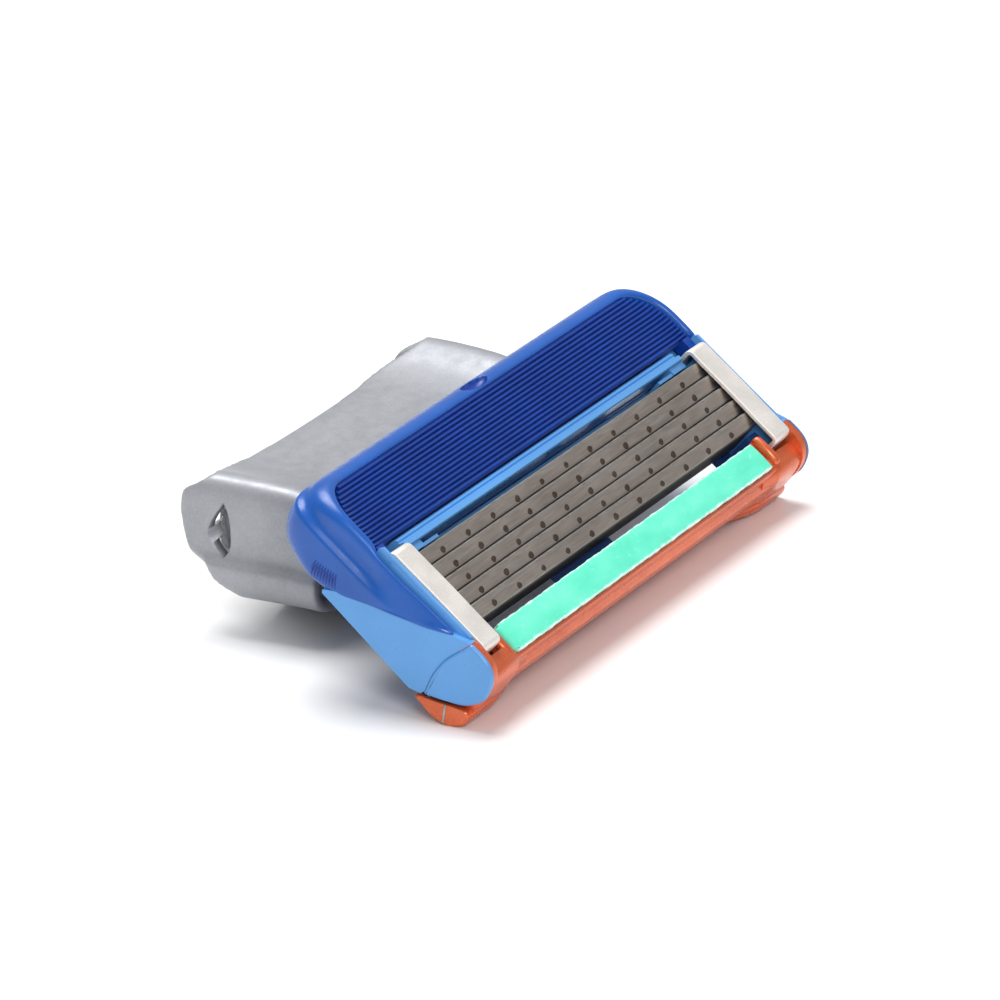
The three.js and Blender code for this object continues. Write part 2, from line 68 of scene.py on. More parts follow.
# The blade unit's axes: x along the blades, y towards the guard, z out of the face.
UNIT = (
    Matrix.Translation(PIVOT)
    @ Matrix.Rotation(TILT, 4, "X")
    @ Matrix.Translation(-PIVOT_IN_UNIT * MM)
)
WORLD = Matrix.Identity(4)

# ------------------------------------------------------------------ mesh helpers

# A shape is (vertices in mm, faces). A prism runs along x, and its outline is in (y, z).


def prism(outline, x0, x1):
    n = len(outline)
    verts = [(x, y, z) for x in (x0, x1) for y, z in outline]
    faces = [(i, (i + 1) % n, n + (i + 1) % n, n + i) for i in range(n)]
    return verts, faces + [tuple(range(n))[::-1], tuple(range(n, 2 * n))]


def span(side, inner, outer):
    """The x range between |x| = inner and outer on one side, lowest first."""
    return (inner, outer) if side > 0 else (-outer, -inner)


def side_prism(side, outline, inner, outer):
    return prism(outline, *span(side, inner, outer))


def block(x0, x1, y0, y1, z0, z1):
    return prism([(y0, z0), (y1, z0), (y1, z1), (y0, z1)], x0, x1)


def side_block(side, inner, outer, y0, y1, z0, z1):
    return block(*span(side, inner, outer), y0, y1, z0, z1)


def loft(rings, wrap=False):
    """Rings joined in order, with caps on both ends unless the last ring joins the first."""
    n = len(rings[0])
    verts = [point for ring in rings for point in ring]
    faces = []
    for j in range(len(rings) if wrap else len(rings) - 1):
        a, b = j * n, ((j + 1) % len(rings)) * n
        for i in range(n):
            k = (i + 1) % n
            faces.append((a + i, a + k, b + k, b + i))
    if not wrap:
        last = (len(rings) - 1) * n
        faces += [tuple(range(n))[::-1], tuple(range(last, last + n))]
    return verts, faces


def turns(n):
    """n even steps round a circle, in radians."""
    return [2 * math.pi * i / n for i in range(n)]


def circle(u, v, radius, n):
    return [(u + radius * math.cos(a), v + radius * math.sin(a)) for a in turns(n)]


def arc(u, v, radius, start, end, steps):
    """Points on a circle, angles in degrees."""
    angles = [math.radians(start + (end - start) * i / steps) for i in range(steps + 1)]
    return [(u + radius * math.cos(a), v + radius * math.sin(a)) for a in angles]


def interp(table, at):
    """Straight-line interpolation in a table of (key, value) pairs with rising keys."""
    if at <= table[0][0]:
        return table[0][1]
    for (k0, v0), (k1, v1) in zip(table, table[1:]):
        if at <= k1:
            return v0 + (v1 - v0) * (at - k0) / (k1 - k0)
    return table[-1][1]


def mix(a, b, t):
    return tuple(p + (q - p) * t for p, q in zip(a, b))


def catmull(p0, p1, p2, p3, t):
    return tuple(
        0.5 * (2 * b + (c - a) * t + (2 * a - 5 * b + 4 * c - d) * t * t + (3 * b - a - 3 * c + d) * t ** 3)
        for a, b, c, d in zip(p0, p1, p2, p3)
    )


def rounded(points, steps, corners=(), closed=True):
    """A smooth outline through points. It keeps a corner at the listed indices."""
    n = len(points)
    out = []
    for i in range(n if closed else n - 1):
        p1, p2 = points[i], points[(i + 1) % n]
        open_start = i in corners or (not closed and i == 0)
        open_end = (i + 1) % n in corners or (not closed and i == n - 2)
        p0 = mix(p1, p2, -1) if open_start else points[i - 1]
        p3 = mix(p2, p1, -1) if open_end else points[(i + 2) % n]
        out += [catmull(p0, p1, p2, p3, s / steps) for s in range(steps)]
    return out if closed else out + [points[-1]]


def inset(outline, amount):
    """The outline moved inwards, for outlines that run anticlockwise."""
    n = len(outline)
    out = []
    for i, (u, v) in enumerate(outline):
        (ua, va), (ub, vb) = outline[i - 1], outline[(i + 1) % n]
        length = math.hypot(ub - ua, vb - va)
        out.append((u - amount * (vb - va) / length, v + amount * (ub - ua) / length))
    return out


def domed(outline, side, inner, outer, radius):
    """A slab from |x| = inner to outer with its outer edge rounded over. The outline is anticlockwise."""
    steps = 4
    stations = [(inner, 0.0)]
    for k in range(steps + 1):
        a = math.pi / 2 * k / steps
        stations.append((outer - radius * (1 - math.sin(a)), radius * (1 - math.cos(a))))
    return loft([[(x * side, y, z) for y, z in inset(outline, back)] for x, back in stations])


BEVEL_ANGLE = math.radians(32)


def make(name, parts, materials, body, matrix=UNIT, bevel=0.0, segments=3, subsurf=0, sharp=None, creases=()):
    """One named piece from (geometry, material index) parts, riding on a CAD body."""
    mesh = bpy.data.meshes.new(name)
    verts, faces, slots = [], [], []
    for (part_verts, part_faces), slot in parts:
        base = len(verts)
        verts += [matrix @ (Vector(v) * MM) for v in part_verts]
        faces += [tuple(base + i for i in face) for face in part_faces]
        slots += [slot] * len(part_faces)
    mesh.from_pydata(verts, [], faces)
    mesh.polygons.foreach_set("material_index", slots)
    for material in materials:
        mesh.materials.append(material)
    bm = bmesh.new()
    bm.from_mesh(mesh)
    bmesh.ops.recalc_face_normals(bm, faces=bm.faces)
    bm.to_mesh(mesh)
    bm.free()
    mesh.polygons.foreach_set("use_smooth", [True] * len(mesh.polygons))
    if creases:
        strength = dict(creases)
        layer = mesh.attributes.new("crease_edge", "FLOAT", "EDGE")
        for edge in mesh.edges:
            layer.data[edge.index].value = strength.get(tuple(sorted(edge.vertices)), 0.0)
    if sharp:
        mesh.set_sharp_from_angle(angle=math.radians(sharp))
    piece = bpy.data.objects.new(name, mesh)
    bpy.context.scene.collection.objects.link(piece)
    if bevel:
        edge = piece.modifiers.new("edge", "BEVEL")
        edge.width = bevel * MM
        edge.segments = segments
        edge.limit_method = "ANGLE"
        edge.angle_limit = BEVEL_ANGLE
        piece.modifiers.new("normals", "WEIGHTED_NORMAL")
    if subsurf:
        smooth = piece.modifiers.new("smooth", "SUBSURF")
        smooth.levels = smooth.render_levels = subsurf
    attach(piece, body)
    return piece


def finished(piece):
    """The piece as its modifiers leave it."""
    bpy.context.view_layer.update()
    return piece.evaluated_get(bpy.context.evaluated_depsgraph_get())


def cut_away(piece, cutter):
    """Cuts the cutter out of a piece, applies all its modifiers and removes the cutter."""
    cut = piece.modifiers.new("cut", "BOOLEAN")
    cut.operation = "DIFFERENCE"
    cut.material_mode = "TRANSFER"
    cut.object = cutter
    mesh = bpy.data.meshes.new_from_object(finished(piece))
    piece.modifiers.clear()
    piece.data = mesh
    bpy.data.objects.remove(cutter)


# ------------------------------------------------------------------ materials


def srgb(r, g, b):
    """0-255 screen colour to linear."""
    return tuple(((c / 255 + 0.055) / 1.055) ** 2.4 if c > 10 else c / 255 / 12.92 for c in (r, g, b))


def shade(colour, share):
    return tuple(c * share for c in colour)


class Finish:
    """A Principled material with procedural layers over the object's own coordinates."""

    def __init__(self, name, in_unit=False, **sockets):
        self.material = bpy.data.materials.new(name)
        self.material.use_nodes = True
        self.tree = self.material.node_tree
        self.shader = self.tree.nodes["Principled BSDF"]
        for socket, value in sockets.items():
            socket = socket.replace("_", " ")
            self.shader.inputs[socket].default_value = (*value, 1) if isinstance(value, tuple) else value
        self.place = self.tree.nodes.new("ShaderNodeTexCoord").outputs["Object"]
        if in_unit:  # measured along the blade unit's own axes
            turn = self.node("ShaderNodeMapping")
            turn.inputs["Location"].default_value = UNIT.inverted().translation
            turn.inputs["Rotation"].default_value = (-TILT, 0, 0)
            self.link(self.place, turn.inputs["Vector"])
            self.place = turn.outputs["Vector"]

    def link(self, a, b):
        self.tree.links.new(a, b)

    def node(self, kind, **settings):
        node = self.tree.nodes.new(kind)
        for key, value in settings.items():
            setattr(node, key, value)
        return node

    def noise(self, size, detail, stretch=(1, 1, 1)):
        """Noise whose features are about size mm across, times stretch along each axis."""
        place = self.node("ShaderNodeMapping")
        place.inputs["Scale"].default_value = tuple(1 / (size * MM * s) for s in stretch)
        self.link(self.place, place.inputs["Vector"])
        node = self.node("ShaderNodeTexNoise")
        node.inputs["Scale"].default_value = 1.0
        node.inputs["Detail"].default_value = detail
        self.link(place.outputs["Vector"], node.inputs["Vector"])
        return node.outputs["Fac"]

    def remap(self, value, lo, hi, out_lo, out_hi):
        """A smooth step from out_lo to out_hi as the value goes from lo to hi."""
        node = self.node("ShaderNodeMapRange", interpolation_type="SMOOTHSTEP")
        for socket, number in zip(("From Min", "From Max", "To Min", "To Max"), (lo, hi, out_lo, out_hi)):
            node.inputs[socket].default_value = number
        self.link(value, node.inputs["Value"])
        return node.outputs["Result"]

    def axis(self, name):
        node = self.node("ShaderNodeSeparateXYZ")
        self.link(self.place, node.inputs["Vector"])
        return node.outputs[name]

    def blended(self, share, a, b):
        """Two textures mixed, with share of the second."""
        node = self.node("ShaderNodeMix", data_type="FLOAT")
        node.inputs[0].default_value = share
        self.link(a, node.inputs[2])
        self.link(b, node.inputs[3])
        return node.outputs[0]

    def colour(self, factor, *stops):
        """A ramp of (position, colour) stops that becomes the base colour."""
        node = self.node("ShaderNodeValToRGB")
        ramp = node.color_ramp
        while len(ramp.elements) < len(stops):
            ramp.elements.new(1.0)
        for element, (position, value) in zip(ramp.elements, stops):
            element.position = position
            element.color = (*value, 1)
        self.link(factor, node.inputs["Fac"])
        return self.base(node.outputs["Color"])

    def base(self, colour):
        self.link(colour, self.shader.inputs["Base Color"])
        return colour

    def over(self, factor, colour, under):
        """Mixes a plain colour over what the base colour is so far."""
        node = self.node("ShaderNodeMix", data_type="RGBA")
        node.inputs[7].default_value = (*colour, 1)
        self.link(factor, node.inputs[0])
        self.link(under, node.inputs[6])
        return self.base(node.outputs[2])

    def rough(self, factor, lo, hi):
        self.link(self.remap(factor, 0.3, 0.7, lo, hi), self.shader.inputs["Roughness"])

    def bump(self, height, depth, strength=1.0):
        """Bumps depth mm deep. Calls stack on each other."""
        node = self.node("ShaderNodeBump")
        node.inputs["Distance"].default_value = depth * MM
        node.inputs["Strength"].default_value = strength
        self.link(height, node.inputs["Height"])
        for old in list(self.shader.inputs["Normal"].links):
            self.link(old.from_socket, node.inputs["Normal"])
        self.link(node.outputs["Normal"], self.shader.inputs["Normal"])


def moulded_plastic(name, colour, rough, **sockets):
    """Satin injection-moulded plastic: faint flow marks, fine spark-erosion texture."""
    finish = Finish(name, **sockets)
    flow = finish.noise(5.0, 2.0, (2.5, 1, 1))
    finish.colour(flow, (0.3, shade(colour, 0.92)), (0.7, shade(colour, 1.08)))
    finish.rough(finish.noise(1.1, 4.0), *rough)
    finish.bump(finish.noise(0.09, 2.0), 0.004)
    finish.bump(flow, 0.02, 0.3)
    return finish


def elastomer(name, colour, rough, sheen):
    """Soft rubber: cloudy colour and a fine dusty grain."""
    finish = Finish(
        name, Sheen_Weight=sheen, Sheen_Roughness=0.4, Sheen_Tint=(0.7, 0.78, 1.0),
        Specular_IOR_Level=0.5,
    )
    cloud = finish.noise(3.2, 3.0)
    finish.colour(cloud, (0.25, shade(colour, 0.86)), (0.75, shade(colour, 1.1)))
    finish.rough(finish.noise(0.5, 4.0), *rough)
    finish.bump(finish.noise(0.07, 3.0), 0.004)
    finish.bump(cloud, 0.05, 0.35)
    return finish


def brushed_metal(name, dark, light, rough, grain, depth):
    """Rolled strip metal: fine grain drawn out along x, patchy stain and tiny pits."""
    finish = Finish(name, Metallic=1.0)
    streaks = finish.noise(grain, 4.0, (14, 1, 1))
    stain = finish.noise(2.4, 4.0, (2.0, 1, 1))
    finish.colour(finish.blended(0.45, streaks, stain), (0.32, srgb(*dark)), (0.66, srgb(*light)))
    finish.rough(streaks, *rough)
    finish.bump(streaks, depth)
    finish.bump(finish.noise(0.06, 2.0), depth * 0.5)
    return finish


def satin_aluminium():
    """Satin sheet with a fine, bright grain."""
    finish = Finish("clip_aluminium", Metallic=0.6)
    grain = finish.noise(0.07, 4.0)
    finish.colour(grain, (0.25, srgb(228, 222, 216)), (0.75, srgb(250, 246, 241)))
    finish.rough(finish.noise(1.6, 3.0), 0.46, 0.6)
    finish.bump(grain, 0.006)
    finish.bump(finish.noise(0.22, 2.0), 0.004)
    return finish


def pearl_plastic(name, dark, light, rough, metallic, flake):
    """Plastic filled with fine metallic flakes, about flake mm across."""
    finish = Finish(name, Metallic=metallic, Coat_Weight=0.15, Coat_Roughness=0.25)
    flow = finish.noise(4.0, 3.0, (2, 1, 1))
    tone = finish.blended(0.55, finish.noise(flake, 2.0), flow)
    finish.colour(tone, (0.25, srgb(*dark)), (0.7, srgb(*light)))
    finish.rough(finish.noise(0.9, 3.0), *rough)
    finish.bump(finish.noise(0.16, 2.0), 0.0015)
    finish.bump(flow, 0.02, 0.3)
    return finish


def mint_strip_finish(front, back):
    """Water-soluble lubricant: waxy and mottled, paler where its edges at y = front and back have dried."""
    finish = Finish(
        "mint_strip", in_unit=True, Subsurface_Weight=0.25, Subsurface_Scale=0.0006,
        Specular_IOR_Level=0.45,
    )
    finish.shader.inputs["Subsurface Radius"].default_value = (0.4, 1.0, 0.8)
    patches = finish.noise(1.6, 3.0, (2.2, 1, 1))
    base = finish.colour(
        patches, (0.3, srgb(88, 218, 184)), (0.5, srgb(100, 226, 194)), (0.72, srgb(118, 232, 202)),
    )
    fleck = finish.remap(finish.noise(0.3, 3.0), 0.6, 0.75, 0.0, 0.5)
    base = finish.over(fleck, srgb(150, 244, 220), base)
    wobble = finish.node("ShaderNodeMath", operation="MULTIPLY_ADD")
    finish.link(finish.noise(0.5, 3.0), wobble.inputs[0])
    wobble.inputs[1].default_value = 0.28 * MM
    finish.link(finish.axis("Y"), wobble.inputs[2])
    ragged_y = wobble.outputs[0]
    dried = finish.remap(ragged_y, (front + 0.1) * MM, (front + 0.34) * MM, 1.0, 0.0)
    base = finish.over(dried, srgb(238, 247, 244), base)
    worn = finish.remap(ragged_y, (back + 0.02) * MM, (back + 0.16) * MM, 0.0, 0.8)
    finish.over(worn, srgb(214, 240, 230), base)
    finish.rough(finish.noise(0.8, 3.0), 0.38, 0.6)
    finish.bump(patches, 0.06, 0.6)
    finish.bump(finish.noise(0.25, 3.0), 0.015)
    return finish


pale_blue = moulded_plastic(
    "pale_blue_plastic", srgb(86, 150, 212), (0.26, 0.38), Coat_Weight=0.15, Coat_Roughness=0.25,
)
# The same pale blue plastic again, only darker: painted shade for the parts inside the housing.
pale_blue_shaded = moulded_plastic("pale_blue_painted_shade", srgb(30, 70, 136), (0.35, 0.5))
rubber = elastomer("navy_elastomer", srgb(12, 84, 172), (0.27, 0.38), 0.06)
# The same rubber again, only darker: painted shade for the fins, the floor between them, the stops, the grip
# marks and the gate recess.
rubber_shaded = elastomer("navy_elastomer_painted_shade", srgb(4, 56, 146), (0.3, 0.44), 0.02)
steel = brushed_metal("blade_steel", (164, 154, 146), (194, 184, 176), (0.36, 0.5), 0.12, 0.003)
honed = brushed_metal("honed_edge", (166, 162, 158), (200, 197, 194), (0.26, 0.38), 0.05, 0.002)
weld = brushed_metal("weld_spot", (80, 69, 62), (110, 98, 90), (0.4, 0.6), 0.1, 0.006)
support_steel = brushed_metal("support_steel", (110, 104, 100), (150, 146, 142), (0.4, 0.55), 0.12, 0.004)
aluminium = satin_aluminium()
copper = pearl_plastic("copper_plastic", (190, 80, 40), (226, 112, 68), (0.26, 0.4), 0.45, 0.14)
silver = pearl_plastic("silver_plastic", (145, 147, 152), (167, 169, 174), (0.44, 0.56), 0.4, 0.16)

# ------------------------------------------------------------------ guard elastomer

# Centre of the guard's rounded corner, in (x, y).
CORNER = (17.5, 6.45)
# Section of the frame round the fins, in (y, z) on the outer run.
OUTER_SECTION = [
    (8.70, -0.75), (8.76, -0.42), (8.93, -0.36), (9.3, -0.52), (9.58, -0.85), (9.74, -1.2),
    (9.83, -1.48), (9.88, -1.8), (9.74, -2.9), (9.15, -3.95), (8.3, -4.55), (6.6, -4.75),
    (6.6, -4.2), (8.4, -1.3),
]
# The same section at the start of each end, in (x, z).
END_SECTION = [
    (20.02, -0.75), (20.08, -0.1), (20.25, 0.17), (20.52, 0.16), (20.78, -0.08), (20.88, -0.5),
    (20.5, -1.42), (21.05, -1.82), (20.93, -2.6), (20.87, -3.5), (20.8, -4.2), (20.3, -4.62),
    (19.6, -4.2), (19.7, -1.3),
]
# How square each rail of the section turns the corner: 2 is round.
SQUARENESS = (2, 2, 2, 2.1, 2.3, 2.7, 3.3, 4.4, 4.8, 4.6, 4, 3, 2, 2)
# Stations of the frame: x along the run, degrees round the corner, then y along the wing.
RUN_STATIONS = (0, 3, 6, 10, 13.5, 16, 17.2)
CORNER_ANGLES = (80, 66, 52, 38, 24, 10)
WING_STATIONS = (6.2, 5.4, 4.65, 4.3, 3.95, 3.3, 2.6, 1.9, 1.0, 0.1, -0.7, -1.4, -1.9, -2.2)

SIDE_RAILS = slice(4, 11)  # the points of the section that make the wing's outer side
# The wing's outer side in (z, |x|), and its top and bottom lines in (y, z).
SIDE_PROFILE = [
    (-4.6, 20.8), (-3.5, 20.87), (-2.6, 20.93), (-1.82, 21.05), (-1.42, 20.5), (-0.5, 20.86),
    (-0.1, 20.79), (0.1, 20.74),
]
CREST = [(-2.4, 0.1), (-1.85, 0.08), (0.06, 0.0), (1.7, -0.12), (3.9, -0.14), (4.3, -0.12), (4.6, -0.08)]
WING_EDGE = [
    (-2.35, 0.07), (-2.22, 0.0), (-0.8, -0.99), (0.83, -1.77), (2.39, -2.6), (3.9, -3.58), (4.96, -4.2),
    (5.9, -4.45), (6.45, -4.6),
]
# Least |x| of the wing's lower side, by y, so that its tip stays proud of the side panel.
TIP_COVER = [(2.2, 20.94), (3.8, 20.5)]
WING_FROM = 4.3  # y below which the frame has no fins inside it
ROOT_INNER, WING_INNER = 19.9, 20.45
LIP = [
    # y, then the four inner points of the frame in (x, z)
    (4.6, ((20.06, -0.7), (20.12, -0.08), (20.28, 0.15), (20.54, 0.14))),
    (4.25, ((20.28, -0.6), (20.34, -0.2), (20.44, 0.02), (20.6, 0.05))),
    (3.9, ((20.42, -0.6), (20.48, -0.3), (20.58, -0.13), (20.7, -0.08))),
    (1.7, ((20.42, -0.5), (20.48, -0.28), (20.58, -0.12), (20.7, -0.07))),
    (0.0, ((20.42, -0.4), (20.48, -0.18), (20.58, 0.0), (20.7, 0.05))),
    (-2.4, ((20.46, -0.2), (20.52, -0.02), (20.6, 0.08), (20.68, 0.12))),
]
# The rail under the frame's groove is creased from CREASE_FROM on, over CREASE_RAMP mm.
CREASE_RAIL = 7
CREASE_FROM = 17.2
CREASE_RAMP = 1.8
CREASE = 0.9


def lip_points(y):
    if y >= LIP[0][0]:
        return LIP[0][1]
    for (y1, upper), (y0, lower) in zip(LIP, LIP[1:]):
        if y >= y0:
            t = (y1 - y) / (y1 - y0)
            return [mix(a, b, t) for a, b in zip(upper, lower)]
    return LIP[-1][1]


def wing_section(y):
    edge = interp(WING_EDGE, y)
    crest = interp(CREST, y)
    step = max(0.008, min(0.06, (crest - edge) / 8))  # keeps the rails apart where the wing thins out
    cover = interp(TIP_COVER, y)
    side = []
    for index, (_, z) in enumerate(END_SECTION[SIDE_RAILS]):
        ceiling = crest - 0.3 if index == 1 else crest
        z = max(min(z, ceiling), edge + step * (6 - index))
        x = interp(SIDE_PROFILE, z)
        side.append((max(x, cover) if index > 1 else x, z))
    inner = WING_INNER if y < WING_FROM else ROOT_INNER
    low = min(-0.3, edge * 0.3) if edge < -0.4 else edge - 0.03
    tail = [(20.5, edge - 0.01), (inner, edge * 0.6 - 0.05), (inner, low)]
    return [(x, y, z) for x, z in list(lip_points(y)) + side + tail]


def guard_half():
    """Rings of the frame from the middle of the guard to the tip of one wing."""
    rings = [[(x, y, z) for y, z in OUTER_SECTION] for x in RUN_STATIONS]
    for angle in CORNER_ANGLES:
        t = 1 - angle / 90
        cosine, sine = math.cos(math.radians(angle)), math.sin(math.radians(angle))
        ring = []
        for (y, z0), (x, z1), power in zip(OUTER_SECTION, END_SECTION, SQUARENESS):
            reach = (y - CORNER[1]) * (1 - t) + (x - CORNER[0]) * t
            reach /= (cosine ** power + sine ** power) ** (1 / power)
            ring.append((CORNER[0] + reach * cosine, CORNER[1] + reach * sine, z0 * (1 - t) + z1 * t))
        rings.append(ring)
    return rings + [wing_section(y) for y in WING_STATIONS]


FINS = 15
FIN_PITCH = 0.2825
FIN_FIRST = 4.6
FIN_PROFILE = [(-0.137, -0.3), (-0.108, -0.11), (-0.04, 0), (0.04, 0), (0.108, -0.11), (0.137, -0.3)]
FIELD_TOP = -0.33
# Half length of the field of fins, by y.
FIN_REACH = [
    (4.45, 20.05), (5.35, 20.12), (6.4, 19.97), (7.1, 19.7), (7.7, 19.3), (8.1, 18.95), (8.35, 18.6),
    (8.6, 18.15),
]
# How far the fins' ends curl up, by y, over the last FIN_CURL_LENGTH mm.
FIN_CURL = [(4.4, 0.2), (6, 0.25), (7.3, 0.15), (8.1, 0.05), (8.6, 0.02)]
FIN_CURL_LENGTH = 1.3
# Stations of a fin: distances back from its end, then x along the straight middle.
FIN_END_STEPS = (0, 0.12, 0.3, 0.5, 0.75, 1.0, 1.3, 1.6)
FIN_MIDDLE = [15, 12, 9, 6, 3]
# The floor between the fins: first y, rows and their spacing, top and bottom.
FLOOR_FROM = 4.42
FLOOR_ROWS = 16
FLOOR_STEP = 0.295
FLOOR_TOP, FLOOR_BOTTOM = -0.56, -1.2


def fin_lift(x, y):
    """The field of fins curls up into the frame at both ends."""
    to_end = interp(FIN_REACH, y) - abs(x)
    return interp(FIN_CURL, y) * max(0, 1 - to_end / FIN_CURL_LENGTH) ** 2


def fin_stations(y):
    reach = interp(FIN_REACH, y) + 0.06
    half = [reach - step for step in FIN_END_STEPS] + FIN_MIDDLE
    return [-x for x in half] + [0] + half[::-1]


def fin(index):
    y = FIN_FIRST + index * FIN_PITCH
    rings = []
    for x in fin_stations(y):
        lift = fin_lift(x, y)
        sway = 0.008 * math.sin(0.7 * x + 2.1 * index)
        rings.append([(x, y + dy + sway, FIELD_TOP + dz + lift) for dy, dz in FIN_PROFILE])
    return loft(rings)


def fin_floor():
    rings = []
    for row in range(FLOOR_ROWS):
        y = FLOOR_FROM + row * FLOOR_STEP
        top = [(x, y, FLOOR_TOP + fin_lift(x, y)) for x in fin_stations(y)]
        rings.append(top + [(x, y, FLOOR_BOTTOM) for x, _, _ in top[::-1]])
    return loft(rings)


def guard_frame():
    """The smooth margin and the two wings, in one ring of rails."""
    half = guard_half()
    mirrored = [[(-x, y, z) for x, y, z in ring] for ring in half[1:]][::-1]
    geometry = loft(mirrored + half)
    rails = len(OUTER_SECTION)
    creases = []
    for start in range(0, 2 * (len(half) - 1) * rails, rails):
        x = abs(geometry[0][start][0])
        strength = CREASE * min(1, max(0, (x - CREASE_FROM) / CREASE_RAMP))
        creases.append(((start + CREASE_RAIL, start + rails + CREASE_RAIL), strength))
    frame_piece = make(
        "elastomer_guard", [(geometry, 0)], [rubber.material], "blade_unit", subsurf=2, creases=creases,
    )
    cut_away(frame_piece, gate_cutter())
    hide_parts("guard_elastomer")
    return frame_piece


def gate_cutter():
    """An ellipsoid for the recess left by the injection gate in the middle of the guard."""
    y, z = 9.42, -0.58
    half_x, half_y, half_z = 1.45, 0.58, 0.6
    levels = 9
    rings = []
    for k in range(levels):
        a = math.pi * (k + 0.5) / levels - math.pi / 2
        level = z + half_z * math.sin(a)
        rings.append([
            (half_x * math.cos(a) * math.cos(b), y + half_y * math.cos(a) * math.sin(b), level)
            for b in turns(24)
        ])
    # The cut passes this darker rubber to the recess walls: painted shade in the recess.
    return make("gate_cutter", [(loft(rings), 0)], [rubber_shaded.material], "blade_unit")


def elastomer_fins():
    """The fins, the floor between them and a stop that closes the field's corner at each end."""
    stops = [side_block(side, 19.3, 20.1, 3.7, 4.42, -1.0, -0.12) for side in SIDES]
    # Fins, floor and stops take the darker copy of the rubber: painted shade.
    fins = make(
        "elastomer_fins", [(part, 0) for part in [fin_floor(), *stops, *map(fin, range(FINS))]],
        [rubber_shaded.material], "blade_unit", sharp=50,
    )


GRIP_MARKS = 9
GRIP_STEPS = 6
GRIP_RADIUS = 0.08
# Top and bottom ends of the first and last rib, in (y, z).
GRIP_TOPS = ((6.35, -3.1), (4.95, -2.75))
GRIP_BOTTOMS = ((6.0, -4.2), (4.45, -3.6))
GRIP_BOW = 0.1
GRIP_OUTSIDE = 25  # |x| from which the surface is sought


def grip_path(surface, side, share):
    """One rib's line down the wing, as (point, surface normal, radius) stations."""
    top, bottom = mix(*GRIP_TOPS, share), mix(*GRIP_BOTTOMS, share)
    path = []
    for step in range(GRIP_STEPS + 1):
        y, z = mix(top, bottom, step / GRIP_STEPS)
        y += GRIP_BOW * math.sin(math.pi * step / GRIP_STEPS)
        origin = UNIT @ (Vector((GRIP_OUTSIDE * side, y, z)) * MM)
        hit, point, normal, _ = surface.ray_cast(origin, Vector((-side, 0, 0)))
        if hit:
            radius = GRIP_RADIUS * math.sin(math.pi * (step + 0.4) / (GRIP_STEPS + 0.8))
            path.append((point / MM, normal, radius))
    return path


def bead(path):
    """A half-sunk bead along (point, surface normal, radius) stations."""
    rings = []
    for index, (point, normal, radius) in enumerate(path):
        ahead = path[min(index + 1, len(path) - 1)][0]
        behind = path[max(index - 1, 0)][0]
        across = (ahead - behind).normalized().cross(normal).normalized()
        rings.append([
            tuple(point + across * radius * math.cos(a) + normal * radius * 0.9 * math.sin(a))
            for a in turns(8)
        ])
    return loft(rings)


def grip_marks(wings):
    """Fine slanted ribs on the lower facet of each wing, laid on the finished surface."""
    surface = finished(wings)
    paths = [grip_path(surface, side, i / (GRIP_MARKS - 1)) for side in SIDES for i in range(GRIP_MARKS)]
    parts = [(bead(path), 0) for path in paths if len(path) > 3]
    # The ribs take the darker copy of the rubber: painted shade.
    marks = make("elastomer_grip_marks", parts, [rubber_shaded.material], "blade_unit", WORLD, sharp=60)


guard = guard_frame()
elastomer_fins()
grip_marks(guard)

# ------------------------------------------------------------------ blade housing

# The joint between side panel and lobe, from the top down.
SEAM = [
    (-3.36, 0.42), (-3.1, -0.5), (-2.88, -1.3), (-2.83, -2.1), (-2.9, -2.9), (-3.12, -3.75), (-3.2, -4.05),
]
SEAM_HALF = 0.015
PANEL_RISE = 0.22  # the panel's top edge runs this far up behind the wing
PANEL = [
    (-2.35, 0.04), *[(y, z + PANEL_RISE) for y, z in WING_EDGE[2:6]],
    (4.6, -3.85), (5.0, -4.2), (4.9, -4.4), (1.5, -4.5), (-2.4, -4.62), (-3.1, -4.3),
]
LOBE_EDGE = [
    (-3.3, -4.12), (-3.95, -3.76), (-4.6, -3.35), (-5.32, -2.84), (-5.78, -2.25), (-6.05, -1.5),
    (-5.93, -0.7), (-5.6, -0.06), (-5.0, 0.36), (-4.3, 0.5), (-3.5, 0.5),
]
SEAT = [
    (3.1, 0.22), (3.1, -1.2), (4.2, -1.25), (5.8, -1.3), (6.0, -4.0), (5.0, -4.35),
    (-2.7, -4.4), (-3.9, -3.7), (-3.9, -0.9), (-3.72, -0.9), (-3.72, 0.22),
]
RIM = [(4.2, -0.8), (4.2, 0.14), (4.05, 0.36), (0, 0.4), (-2.95, 0.44), (-3.08, 0.4), (-3.08, -0.8)]
TIP_FILLER = [(-3.08, -0.7), (-3.08, 0.34), (-2.4, 0.06), (-2.0, -0.7)]
# |x| from and to of each layer of an end, from the inside out.
SEAT_X = (18.95, 20.42)
RIM_X = (20.11, 20.36)
PANEL_X = (20.2, 20.85)
TIP_FILLER_X = (20.36, 20.8)
BACKING_X = (20.5, 20.79)
BACKING_HALF = 0.4
LOBE_X = (20.76, 20.98)
LOBE_ROUND = 0.2

# The rigid core under the elastomer.
CORE = [(3.3, -1.2), (3.3, -4.35), (8.1, -4.3), (8.6, -3.8), (8.7, -1.25)]
CORE_HALF = 17.9
POCKET_X = (8.05, 10.35)
POCKET_RADIUS = 1.3
POCKET_MOUTH = 1.25  # half the width of its open bottom

COMB_X = (17.7, 19.2)
COMB_OFFSET = 0.23
TOOTH_HALF = 0.22

BAR_HALF = 17.75
BAR_PROFILE = [
    (3.05, -2.6), (3.05, -1.9), (3.38, -1.8), (3.4, -0.16), (3.47, -0.07), (3.76, -0.08), (3.84, -0.34),
    (3.94, -0.42), (4.04, -0.33), (4.16, -0.4), (4.28, -0.62), (4.36, -2.6),
]
BACK_LOW, BACK_HIGH = -4.3, -3.35
BACK_RIBS = (-12, -6.2, 6.2, 12)


